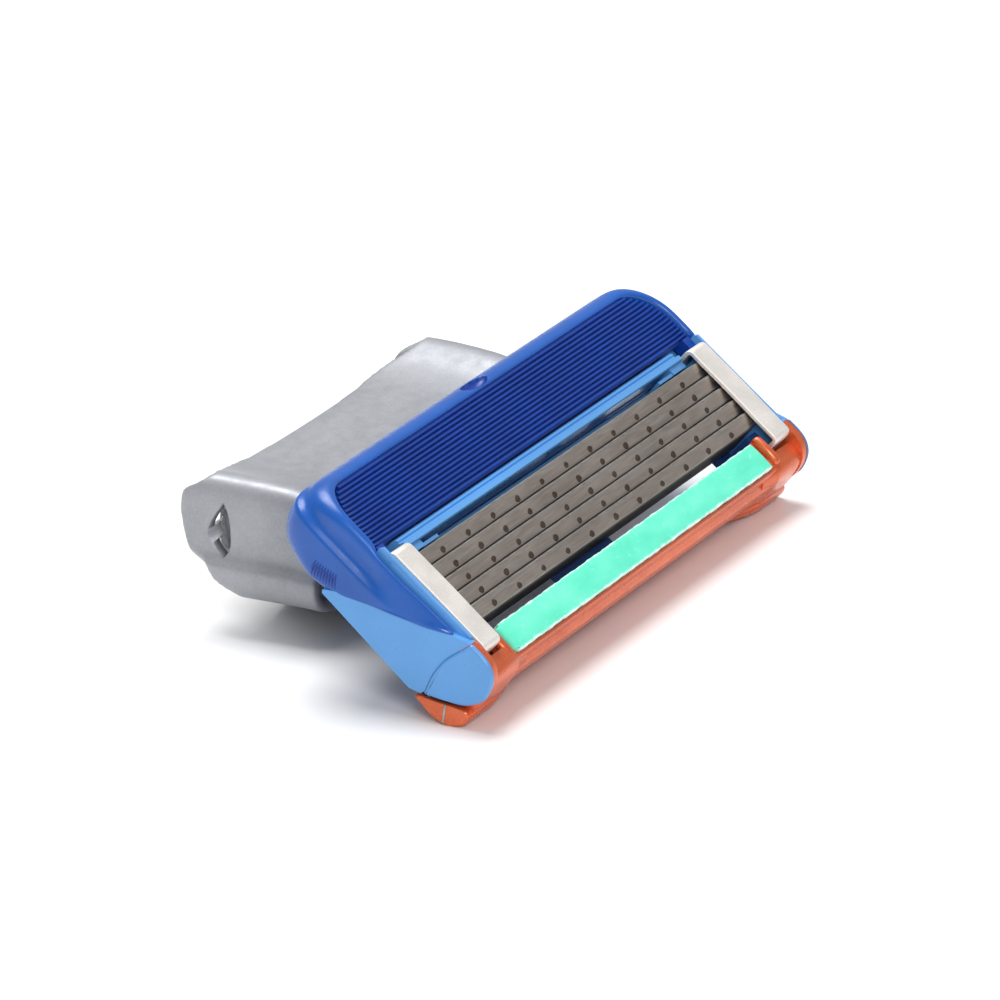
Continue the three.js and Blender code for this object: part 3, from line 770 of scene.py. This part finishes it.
def pocket_outline():
    """Section of the core where a pivot bearing sits."""
    y, z = PIVOT_IN_UNIT.y, PIVOT_IN_UNIT.z
    bottom = CORE[1][1]
    bore = arc(y, z, POCKET_RADIUS, -55, 235, 22)[::-1]
    return CORE[:2] + [(y - POCKET_MOUTH, bottom), *bore, (y + POCKET_MOUTH, bottom)] + CORE[2:]


def housing_end(side):
    """The seat under the blades' ends, the rim outside the clip, the side panel, the lobe and a backing."""
    seam = rounded(SEAM, 4, closed=False)
    panel = PANEL + [(y + SEAM_HALF, z) for y, z in seam[-2::-1]]
    lobe = rounded(LOBE_EDGE, 5, closed=False) + [(y - SEAM_HALF, z) for y, z in seam]
    backing = [(y - BACKING_HALF, z - 0.02) for y, z in seam[1:]]
    backing += [(y + BACKING_HALF, z - 0.1) for y, z in seam[:0:-1]]
    return [
        side_prism(side, SEAT, *SEAT_X),
        side_prism(side, RIM, *RIM_X),
        side_prism(side, TIP_FILLER, *TIP_FILLER_X),
        side_prism(side, backing, *BACKING_X),
        side_prism(side, panel, *PANEL_X),
        domed(lobe[::-1], side, *LOBE_X, LOBE_ROUND),
    ]


def comb(side):
    """The slotted wall round the ends of the blade supports, with a tooth each side of every slot."""
    parts = [side_block(side, *COMB_X, -3.2, 3.5, -3.7, -3.1)]
    for tooth in range(BLADES + 1):
        y = (BLADES / 2 - tooth) * PITCH - COMB_OFFSET
        parts.append(side_block(side, *COMB_X, y - TOOTH_HALF, y + TOOTH_HALF, -3.2, -0.72))
    return parts


def platform():
    """The core under the elastomer, with the two bearing pockets."""
    parts = [prism(CORE, -POCKET_X[0], POCKET_X[0])]
    for side in SIDES:
        parts.append(side_prism(side, pocket_outline(), *POCKET_X))
        parts.append(side_prism(side, CORE, POCKET_X[1], CORE_HALF))
    return parts


def guard_bar():
    """The stepped bar between the fins and the first blade, with a ledge at each end."""
    parts = [prism(BAR_PROFILE, -BAR_HALF, BAR_HALF)]
    for side in SIDES:
        parts.append(side_block(side, 14.3, BAR_HALF, 2.95, 3.16, -1.3, -0.34))
        parts.append(side_block(side, 16.1, BAR_HALF, 2.95, 3.45, -1.3, -0.26))
    return parts


def housing_back():
    """Spine, boss and ribs across the open back, and the two walls on the cap side."""
    boss = [(-3.1, BACK_LOW), (2, BACK_LOW), (1.2, BACK_HIGH), (-2.9, BACK_HIGH + 0.1)]
    parts = [block(-19, 19, -0.35, 0.35, BACK_LOW, BACK_HIGH), prism(boss, -3, 3)]
    parts += [block(x - 0.4, x + 0.4, 0, 3.4, BACK_LOW, BACK_HIGH) for x in BACK_RIBS]
    parts.append(block(-18.97, 18.97, -3.5, -2.95, BACK_LOW, -1.5))
    parts.append(block(-17.9, 17.9, -5.0, -3.45, -2.9, -1.5))
    return parts


def blade_housing():
    outside = [part for side in SIDES for part in housing_end(side)] + guard_bar()
    # The parts inside take the darker copy of the pale blue plastic: painted shade.
    inside = platform() + housing_back() + [part for side in SIDES for part in comb(side)]
    shell = make(
        "housing_shell", [(part, 0) for part in outside] + [(part, 1) for part in inside],
        [pale_blue.material, pale_blue_shaded.material], "blade_unit", bevel=0.09,
    )
    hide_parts("blade_housing")


blade_housing()

# ------------------------------------------------------------------ blades

WELDS = 11
WELD_PITCH = 3.102
WELD_RADIUS = 0.2
WELD_STRETCH = 1.42  # welds are longer along the blade
# Share of the radius and height of each ring of a weld, from its foot inwards.
WELD_LEVELS = [(1.0, -0.012), (0.92, 0.012), (0.74, 0.02), (0.5, 0.006), (0.2, 0.002)]
BLADE_HALF = 18.95
BLADE_END = 0.05  # length of the last step at each end
# Section of a blade about its own place in the row, in (y, z).
BLADE_PROFILE = [
    (-0.27, -0.09), (-0.25, -0.07), (0.52, 0.169), (0.585, 0.187), (0.65, 0.15), (0.62, 0.135), (0.34, 0.015),
    (-0.25, -0.17), (-0.27, -0.15),
]
HONED_SIDES = (2, 3, 4)  # sides of the section that are ground to the edge
FLAT_START, FLAT_END = BLADE_PROFILE[1:3]
SLOPE = (FLAT_END[1] - FLAT_START[1]) / (FLAT_END[0] - FLAT_START[0])


def weld_spot(x, y, rng):
    """A laser weld: a low crater with a raised lip on the sloping blade."""
    radius = WELD_RADIUS * rng.uniform(0.92, 1.1)
    dx, dy = rng.uniform(-0.03, 0.03), rng.uniform(-0.02, 0.02)
    rings = []
    for share, height in WELD_LEVELS:
        ring = []
        for a in turns(18):
            r = radius * share * (1 + 0.05 * math.sin(3 * a + dx * 90))
            u, v = WELD_STRETCH * r * math.cos(a) + dx, r * math.sin(a) + dy
            ring.append((x + u, y + v, FLAT_START[1] + (v - FLAT_START[0]) * SLOPE + height))
        rings.append(ring)
    return loft(rings)


def blade(row, rng):
    y = (BLADES // 2 - row) * PITCH
    middle = [-15 + 3 * k for k in range(11)]
    stations = [-BLADE_HALF, -BLADE_HALF + BLADE_END, *middle, BLADE_HALF - BLADE_END, BLADE_HALF]
    parts = [(loft([[(x, y + v, w) for v, w in BLADE_PROFILE] for x in stations]), 0)]
    for k in range(WELDS):
        parts.append((weld_spot((k - WELDS // 2) * WELD_PITCH, y, rng), 2))
    piece = make(
        f"blade_strip_{row + 1}", parts, [steel.material, honed.material, weld.material],
        f"floating_blade_{row + 1}", sharp=24,
    )
    sides = len(BLADE_PROFILE)
    for polygon in piece.data.polygons[:sides * (len(stations) - 1)]:
        if polygon.index % sides in HONED_SIDES:
            polygon.material_index = 1
    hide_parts(f"blade_{row + 1}")


random_welds = random.Random(11)
for row in range(BLADES):
    blade(row, random_welds)

# ------------------------------------------------------------------ clips

CLIP_X = (18.15, 20.07)
CLIP_THICK = 0.28
CLIP_TOP = 0.37
CLIP_GUARD_Y, CLIP_CAP_Y = 3.5, -3.98


def clip_band():
    """Centre line of the folded band in (y, z), from the hook to the cap-side leg."""
    guard_bend, cap_bend = 0.3, 0.22
    line = [(2.75, -4.52), (3.1, -4.52)]
    line += arc(3.18, -4.2, 0.32, -90, 0, 4)
    line += [(CLIP_GUARD_Y, -2.5), (CLIP_GUARD_Y, 0.0)]
    line += arc(CLIP_GUARD_Y - guard_bend, CLIP_TOP - guard_bend, guard_bend, 0, 90, 6)
    line += [(y, CLIP_TOP + 0.02 * math.cos(y * 0.8)) for y in (2.4, 1.2, 0, -1.2, -2.4)]
    line += arc(CLIP_CAP_Y + cap_bend, CLIP_TOP - cap_bend, cap_bend, 90, 180, 5)
    return line + [(CLIP_CAP_Y, -0.4), (CLIP_CAP_Y, -1.5)]


def clip(side, name):
    """A band of constant thickness along the centre line."""
    line = clip_band()
    x0, x1 = span(side, *CLIP_X)
    rings = []
    for i, (y, z) in enumerate(line):
        (ya, za), (yb, zb) = line[max(i - 1, 0)], line[min(i + 1, len(line) - 1)]
        length = math.hypot(yb - ya, zb - za)
        dy, dz = -(zb - za) / length * CLIP_THICK / 2, (yb - ya) / length * CLIP_THICK / 2
        top, bottom = (y + dy, z + dz), (y - dy, z - dz)
        rings.append([(x0, *top), (x1, *top), (x1, *bottom), (x0, *bottom)])
    piece = make(f"folded_{name}", [(loft(rings), 0)], [aluminium.material], "blade_unit", bevel=0.07)
    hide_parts(name)


clip(-1, "blade_clip_left")
clip(1, "blade_clip_right")

# ------------------------------------------------------------------ lubricating strip

STRIP_HALF = 16.85
STRIP_BACK, STRIP_FRONT = -3.2, -5.15
STRIP_PROFILE = [
    (STRIP_BACK, -0.9), (-3.18, -0.26), (-3.3, -0.13), (-4.15, -0.08), (-4.98, -0.11), (-5.13, -0.2),
    (STRIP_FRONT, -0.9),
]
STRIP_STEPS = 150
STRIP_ROUND = 0.3  # length over which each end is rounded off
STRIP_TUCK = 0.22


def strip():
    """A bar with slightly wavy edges and rounded ends."""
    rng = random.Random(5)
    profile = rounded(STRIP_PROFILE, 4, corners=(0, 6))
    rings = []
    for k in range(STRIP_STEPS + 1):
        x = -STRIP_HALF + k * 2 * STRIP_HALF / STRIP_STEPS
        tuck = STRIP_TUCK * max(0, 1 - (STRIP_HALF - abs(x)) / STRIP_ROUND) ** 2
        wave = 0.012 * math.sin(2.3 * x) + 0.01 * math.sin(5.9 * x + 1) + rng.uniform(-0.014, 0.014)
        ring = []
        for y, z in profile:
            outward = 1 if y > -3.3 else -1 if y < -5.0 else 0
            ring.append((x, y + outward * wave - outward * tuck, z - (tuck if z > -0.5 else 0)))
        rings.append(ring)
    finish = mint_strip_finish(STRIP_FRONT, STRIP_BACK)
    piece = make("lubricant_bar", [(loft(rings), 0)], [finish.material], "blade_unit", sharp=60)
    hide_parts("lubricating_strip")


strip()

# ------------------------------------------------------------------ trimmer carrier

# Section along the cap edge: the strip's tray, the lip in front of it, the front wall and the bottom.
CHANNEL = [
    (-3.1, -1.35), (-3.1, -1.02), (-5.13, -1.02), (-5.17, -0.42), (-5.24, -0.34), (-5.38, -0.4),
    (-5.45, -0.7), (-5.5, -1.05), (-5.78, -1.3), (-5.83, -1.6), (-5.8, -2.4), (-5.68, -3.2), (-5.5, -3.9),
    (-5.2, -4.4), (-4.6, -4.68), (-3.8, -4.74), (-2.95, -4.72), (-2.95, -4.45), (-4.3, -4.42),
    (-5.0, -4.1), (-5.25, -3.2), (-5.27, -1.35),
]
CHANNEL_CORNERS = (0, 1, 2, 16, 17, 21)
CHANNEL_HALF = 17.6
FOOT = [
    (-2.93, -4.74), (-4.2, -4.83), (-5.1, -4.68), (-5.62, -4.4), (-6.1, -3.82), (-6.18, -3.4), (-6.03, -3.04),
    (-5.55, -2.99), (-4.1, -3.86), (-3.0, -4.5),
]
SHOULDER = [
    (-4.42, -0.2), (-5.1, -0.22), (-5.5, -0.34), (-5.8, -0.7), (-5.95, -1.4), (-5.98, -2.4), (-5.9, -3.4),
    (-5.4, -3.55), (-4.5, -3.4), (-4.3, -2.0),
]
CHEEK = [
    (-3.1, -1.4), (-3.12, 0.2), (-3.35, 0.4), (-4.4, 0.43), (-4.98, 0.3), (-5.54, -0.1), (-5.88, -0.7),
    (-6.0, -1.4), (-5.9, -2.1), (-5.3, -2.72), (-4.0, -2.6),
]
CHEEK_X = (20.12, 20.8)
# |x| and the share of the full outline there, about a centre in (y, z).
FOOT_TAPER = [(14.2, 0.62), (15.5, 0.78), (16.6, 0.92), (17.6, 1), (20.72, 1), (20.86, 0.97), (20.93, 0.9)]
FOOT_CENTRE = (-4.6, -3.9)
SHOULDER_TAPER = [(15.6, 0.8), (16.7, 0.86), (17.1, 0.96), (17.3, 1), (20.4, 1)]
SHOULDER_CENTRE = (-4.9, -2.2)
# The round rib across each end of the strip: y, share of its radius, z of its axis.
RIB_STATIONS = (
    (-3.02, 0.3, -0.24), (-3.08, 0.75, -0.2), (-3.25, 1, -0.16), (-4.2, 1, -0.1), (-4.8, 1, -0.14),
    (-5.05, 0.8, -0.2), (-5.15, 0.3, -0.28),
)
RIB_X = 17.4
RIB_RADIUS = 0.33
RIB_DROP = {-1: 0.32, 1: 0.0}  # the rib on the -x side sits lower
TAB = [(-4.52, -3.62), (-4.66, -3.56), (-5.24, -4.5), (-5.12, -4.6)]
TAB_X = (16.0, 20.97)


def tapered(outline, side, centre, stations):
    """A loft along x that scales the outline about its centre."""
    cy, cz = centre
    return loft([
        [(x * side, cy + (y - cy) * share, cz + (z - cz) * share) for y, z in outline]
        for x, share in stations
    ])


def strip_rib(side):
    centre, drop = RIB_X * side, RIB_DROP[side]
    section = circle(centre, 0, RIB_RADIUS, 16)
    return loft([
        [(centre + (x - centre) * share, y, z * share + lift - drop) for x, z in section]
        for y, share, lift in RIB_STATIONS
    ])


def carrier():
    """The channel, and at each end the foot, the shoulder above it, the cheek and the strip's rib."""
    parts = [prism(rounded(CHANNEL, 2, corners=CHANNEL_CORNERS), -CHANNEL_HALF, CHANNEL_HALF)]
    foot = rounded(FOOT, 3, corners=(0, 9))
    shoulder = rounded(SHOULDER, 3, corners=(0, 9))
    cheek = rounded(CHEEK, 3, corners=(0, 1))
    for side in SIDES:
        parts.append(tapered(foot, side, FOOT_CENTRE, FOOT_TAPER))
        parts.append(tapered(shoulder, side, SHOULDER_CENTRE, SHOULDER_TAPER))
        parts.append(side_prism(side, cheek, *CHEEK_X))
        parts.append(side_block(side, 16.9, CHANNEL_HALF, STRIP_FRONT, -3.1, -1.2, -0.34))
        parts.append(strip_rib(side))
    piece = make("carrier_shell", [(part, 0) for part in parts], [copper.material], "blade_unit", bevel=0.08)
    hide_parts("trimmer_carrier")


def trimmer_tabs():
    """The bright ends of the trimmer blade that show in the slit of each foot."""
    parts = [(side_prism(side, TAB, *TAB_X), 0) for side in SIDES]
    piece = make("trimmer_blade_tabs", parts, [honed.material], "blade_unit", bevel=0.02, segments=1)


carrier()
trimmer_tabs()

# ------------------------------------------------------------------ yoke

# Half of the yoke's rear outline in (x, z), from the middle of the belly to the top.
YOKE_REAR = [
    (0, 0), (3.5, 0), (6.6, 0.02), (8.6, 0.45), (10.6, 1.25), (12.6, 1.75), (13.8, 2.3), (14.35, 3.2),
    (14.45, 4.1), (14.05, 4.5), (13.98, 5.6), (14.12, 7.2), (14.1, 8.1), (13.9, 8.7), (13.4, 9.05),
    (12.6, 9.02), (11.6, 8.7), (10.2, 8.25), (8.2, 7.9), (6, 7.8), (3, 7.8), (0, 7.8),
]
YOKE_HEIGHT = 9.3  # height that the outline's z is scaled from
# Top line, bottom line and share of the full width, by y, and the y of the rear rim, by z.
TOP_Z = rounded(
    [(0.1, 6.0), (0.5, 6.8), (1.8, 8.0), (3.1, 9.0), (5, 9.5), (8.6, 9.7), (12, 9.7)], 4, closed=False,
)
BOTTOM_Z = [(0.1, 3.0), (0.5, 1.7), (0.9, 0.9), (1.4, 0.35), (2.2, 0.0), (12, 0.0)]
WIDTH = [
    (0.1, 0.95), (0.6, 0.985), (1.5, 1.0), (2.9, 0.975), (5, 0.985), (8.2, 1.0), (10.4, 1.0), (11.4, 0.985),
    (12.2, 0.95),
]
RIM_Y = rounded([
    (0.0, 8.3), (1.2, 8.3), (2.2, 8.4), (2.55, 8.85), (3.2, 9.6), (4.25, 10.1), (4.4, 11.2), (5.24, 11.85),
    (6.4, 12.1), (6.97, 12.1), (7.92, 11.8), (8.7, 10.6), (9.3, 9.8),
], 4, closed=False)
# Above z = DIP_FROM the rear rim bows forwards by DIP in the middle and by nothing at |x| = DIP_HALF.
DIP_FROM, DIP, DIP_HALF = 6, 0.8, 12.5
# Stations as shares of the way from the front edge back to the rim.
BODY_STATIONS = (0, 0.03, 0.15, 0.3, 0.5, 0.7, 0.85, 0.94, 1.0)
NOSE_STATIONS = (0, 0.03, 0.1, 0.2, 0.32)
BODY_FRONT, NOSE_FRONT, NOSE_HOLLOW = 2.9, 0.1, 1.3
BODY_WALL = 0.75
NOSE_INSETS = (0.1, 0.95)
NOSE_WIDTH = 10.6 / 14.3

ARM_X = (8.2, 10.2)
ARM_LENGTH = 3.9
ARM_HALF = 0.6
ARM_LEAN = math.radians(20)  # angle between the arm and the blade unit's own z axis
BEARING_RADIUS = 1.15
# Inner walls on each side: |x| from and to, y from and to, z from and to.
WEBS = [
    (6, 6.9, 1.1, 7.9, 0.6, 7.2),  # wall of the docking socket
    (6.2, 13.6, 2.0, 10.6, 5.55, 6.05),  # shelf from the socket to the window
    (10.4, 11.0, 1.1, 5.5, 2.6, 7.0),  # wall beside the arm
    (12.3, 12.8, 6.5, 9.9, 4.4, 8.2),  # upright behind the window
    (12.5, 14.0, 8.2, 10.0, 5.95, 6.15),  # cross bar of the window
]
WINDOW = [(8.85, 8.1), (8.52, 7.2), (8.5, 5.4), (8.9, 4.6), (9.6, 5.3), (9.95, 6.3)]
WINDOW_X = (12.4, 16)
VOXEL = 0.13
SOFT_PASSES = 20


def yoke_outline(amount=0.0):
    """The whole rear outline, smoothed and moved inwards."""
    half = rounded(YOKE_REAR, 3, closed=False)
    return inset(half + [(-x, z) for x, z in half[-2:0:-1]], amount)


def yoke_rings(amount, start, stations, width=1.0):
    """Rings of the shell from y = start back to its rim."""
    rings = []
    for t in stations:
        ring = []
        for (x, z), (x_outer, z_outer) in zip(yoke_outline(amount), yoke_outline()):
            rim = interp(RIM_Y, z_outer)
            if z_outer > DIP_FROM:
                rim -= DIP * max(0, 1 - (x_outer / DIP_HALF) ** 2)
            y = start + (rim - start) * t
            low, high = interp(BOTTOM_Z, y - amount * 0.3), interp(TOP_Z, y)
            ring.append((x * width * interp(WIDTH, y), y, low + z * ((high - low) / YOKE_HEIGHT)))
        rings.append(ring)
    return rings


def yoke_arm(side):
    """A flat arm that ends in a round bearing on the pivot axis."""
    centre = PIVOT / MM
    lean = TILT - math.pi / 2 + ARM_LEAN
    along_y, along_z = math.cos(lean), math.sin(lean)
    across_y, across_z = along_z * ARM_HALF, along_y * ARM_HALF
    end_y, end_z = centre.y + along_y * ARM_LENGTH, centre.z + along_z * ARM_LENGTH
    outline = [
        (centre.y + across_y, centre.z - across_z), (end_y + across_y, end_z - across_z),
        (end_y - across_y, end_z + across_z), (centre.y - across_y, centre.z + across_z),
    ]
    bearing = circle(centre.y, centre.z, BEARING_RADIUS, 40)
    return [side_prism(side, outline, *ARM_X), side_prism(side, bearing, *ARM_X)]


def window_cutter():
    outline = rounded(WINDOW, 4, corners=(0, 3))
    parts = [(side_prism(side, outline, *WINDOW_X), 0) for side in SIDES]
    return make("window_cutter", parts, [silver.material], "yoke", matrix=WORLD)


def yoke():
    """The shell, nose, arms and webs, fused into one soft-edged moulding with a window on each side."""
    skin = yoke_rings(0.0, BODY_FRONT, BODY_STATIONS)
    lining = yoke_rings(BODY_WALL, BODY_FRONT, BODY_STATIONS)
    nose = yoke_rings(NOSE_INSETS[0], NOSE_FRONT, NOSE_STATIONS, NOSE_WIDTH)
    hollow = yoke_rings(NOSE_INSETS[1], NOSE_HOLLOW, NOSE_STATIONS, NOSE_WIDTH)
    parts = [loft(skin + lining[::-1], wrap=True), loft(nose + hollow[::-1])]
    for side in SIDES:
        parts += yoke_arm(side) + [side_block(side, *web) for web in WEBS]
    piece = make("yoke_shell", [(part, 0) for part in parts], [silver.material], "yoke", matrix=WORLD)
    fuse = piece.modifiers.new("fuse", "REMESH")
    fuse.mode = "VOXEL"
    fuse.voxel_size = VOXEL * MM
    fuse.use_smooth_shade = True
    soft = piece.modifiers.new("soft", "SMOOTH")
    soft.factor = 0.5
    soft.iterations = SOFT_PASSES
    cut_away(piece, window_cutter())
    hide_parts("connecting_yoke")


yoke()

# ------------------------------------------------------------------ CAD nodes that stay

KEPT = {f"blade_support_{row + 1}": support_steel for row in range(BLADES)}
KEPT["trimmer_blade_support"] = support_steel
KEPT["trimmer_blade"] = honed
for node, finish in KEPT.items():
    mesh = frame["nodes"][node].data
    mesh.materials.clear()
    mesh.materials.append(finish.material)

# ------------------------------------------------------------------ floor, light, camera

FLOOR_HALF = 3  # metres
CAMERA_AZIMUTH, CAMERA_ELEVATION = math.radians(-62.9), math.radians(20.53)
CAMERA_AIM = Vector((0.469, -1.595, 5.174)) * MM
CAMERA_DISTANCE = 0.48095
CAMERA_LENS, CAMERA_SENSOR = 295.2, 36


def floor():
    mesh = bpy.data.meshes.new("floor")
    corners = [(-1, -1), (1, -1), (1, 1), (-1, 1)]
    mesh.from_pydata([(x * FLOOR_HALF, y * FLOOR_HALF, 0) for x, y in corners], [], [(0, 1, 2, 3)])
    plane = bpy.data.objects.new("floor", mesh)
    bpy.context.scene.collection.objects.link(plane)
    finish = Finish("floor_paint", Specular_IOR_Level=0.4)
    finish.colour(finish.noise(40, 2.0), (0.3, (0.92, 0.92, 0.92)), (0.7, (0.95, 0.95, 0.95)))
    finish.rough(finish.noise(6, 3.0), 0.28, 0.36)
    finish.bump(finish.noise(0.4, 2.0), 0.01, 0.3)
    mesh.materials.append(finish.material)


def area_light(name, position, size, watts):
    """A round light that faces the middle of the object."""
    data = bpy.data.lights.new(name, "AREA")
    data.shape = "DISK"
    data.size = size
    data.energy = watts
    lamp = bpy.data.objects.new(name, data)
    bpy.context.scene.collection.objects.link(lamp)
    lamp.location = position
    lamp.rotation_euler = (-Vector(position)).to_track_quat("-Z", "Y").to_euler()


def world(strength):
    sky = bpy.data.worlds.new("studio")
    bpy.context.scene.world = sky
    sky.use_nodes = True
    background = sky.node_tree.nodes["Background"]
    background.inputs["Color"].default_value = (1, 1, 1, 1)
    background.inputs["Strength"].default_value = strength


def camera():
    back = Vector((
        math.sin(CAMERA_AZIMUTH) * math.cos(CAMERA_ELEVATION),
        -math.cos(CAMERA_AZIMUTH) * math.cos(CAMERA_ELEVATION),
        math.sin(CAMERA_ELEVATION),
    ))
    data = bpy.data.cameras.new("camera")
    data.sensor_width = CAMERA_SENSOR
    data.lens = CAMERA_LENS
    viewer = bpy.data.objects.new("camera", data)
    bpy.context.scene.collection.objects.link(viewer)
    viewer.location = CAMERA_AIM + back * CAMERA_DISTANCE
    viewer.rotation_euler = (-back).to_track_quat("-Z", "Y").to_euler()
    bpy.context.scene.camera = viewer


floor()
world(0.42)
area_light("overhead", (0.1, 0.16, 0.62), 0.42, 4.2)
area_light("window", (-0.5, -0.42, 0.42), 0.3, 2.3)
camera()
bpy.context.scene.view_settings.view_transform = "Standard"
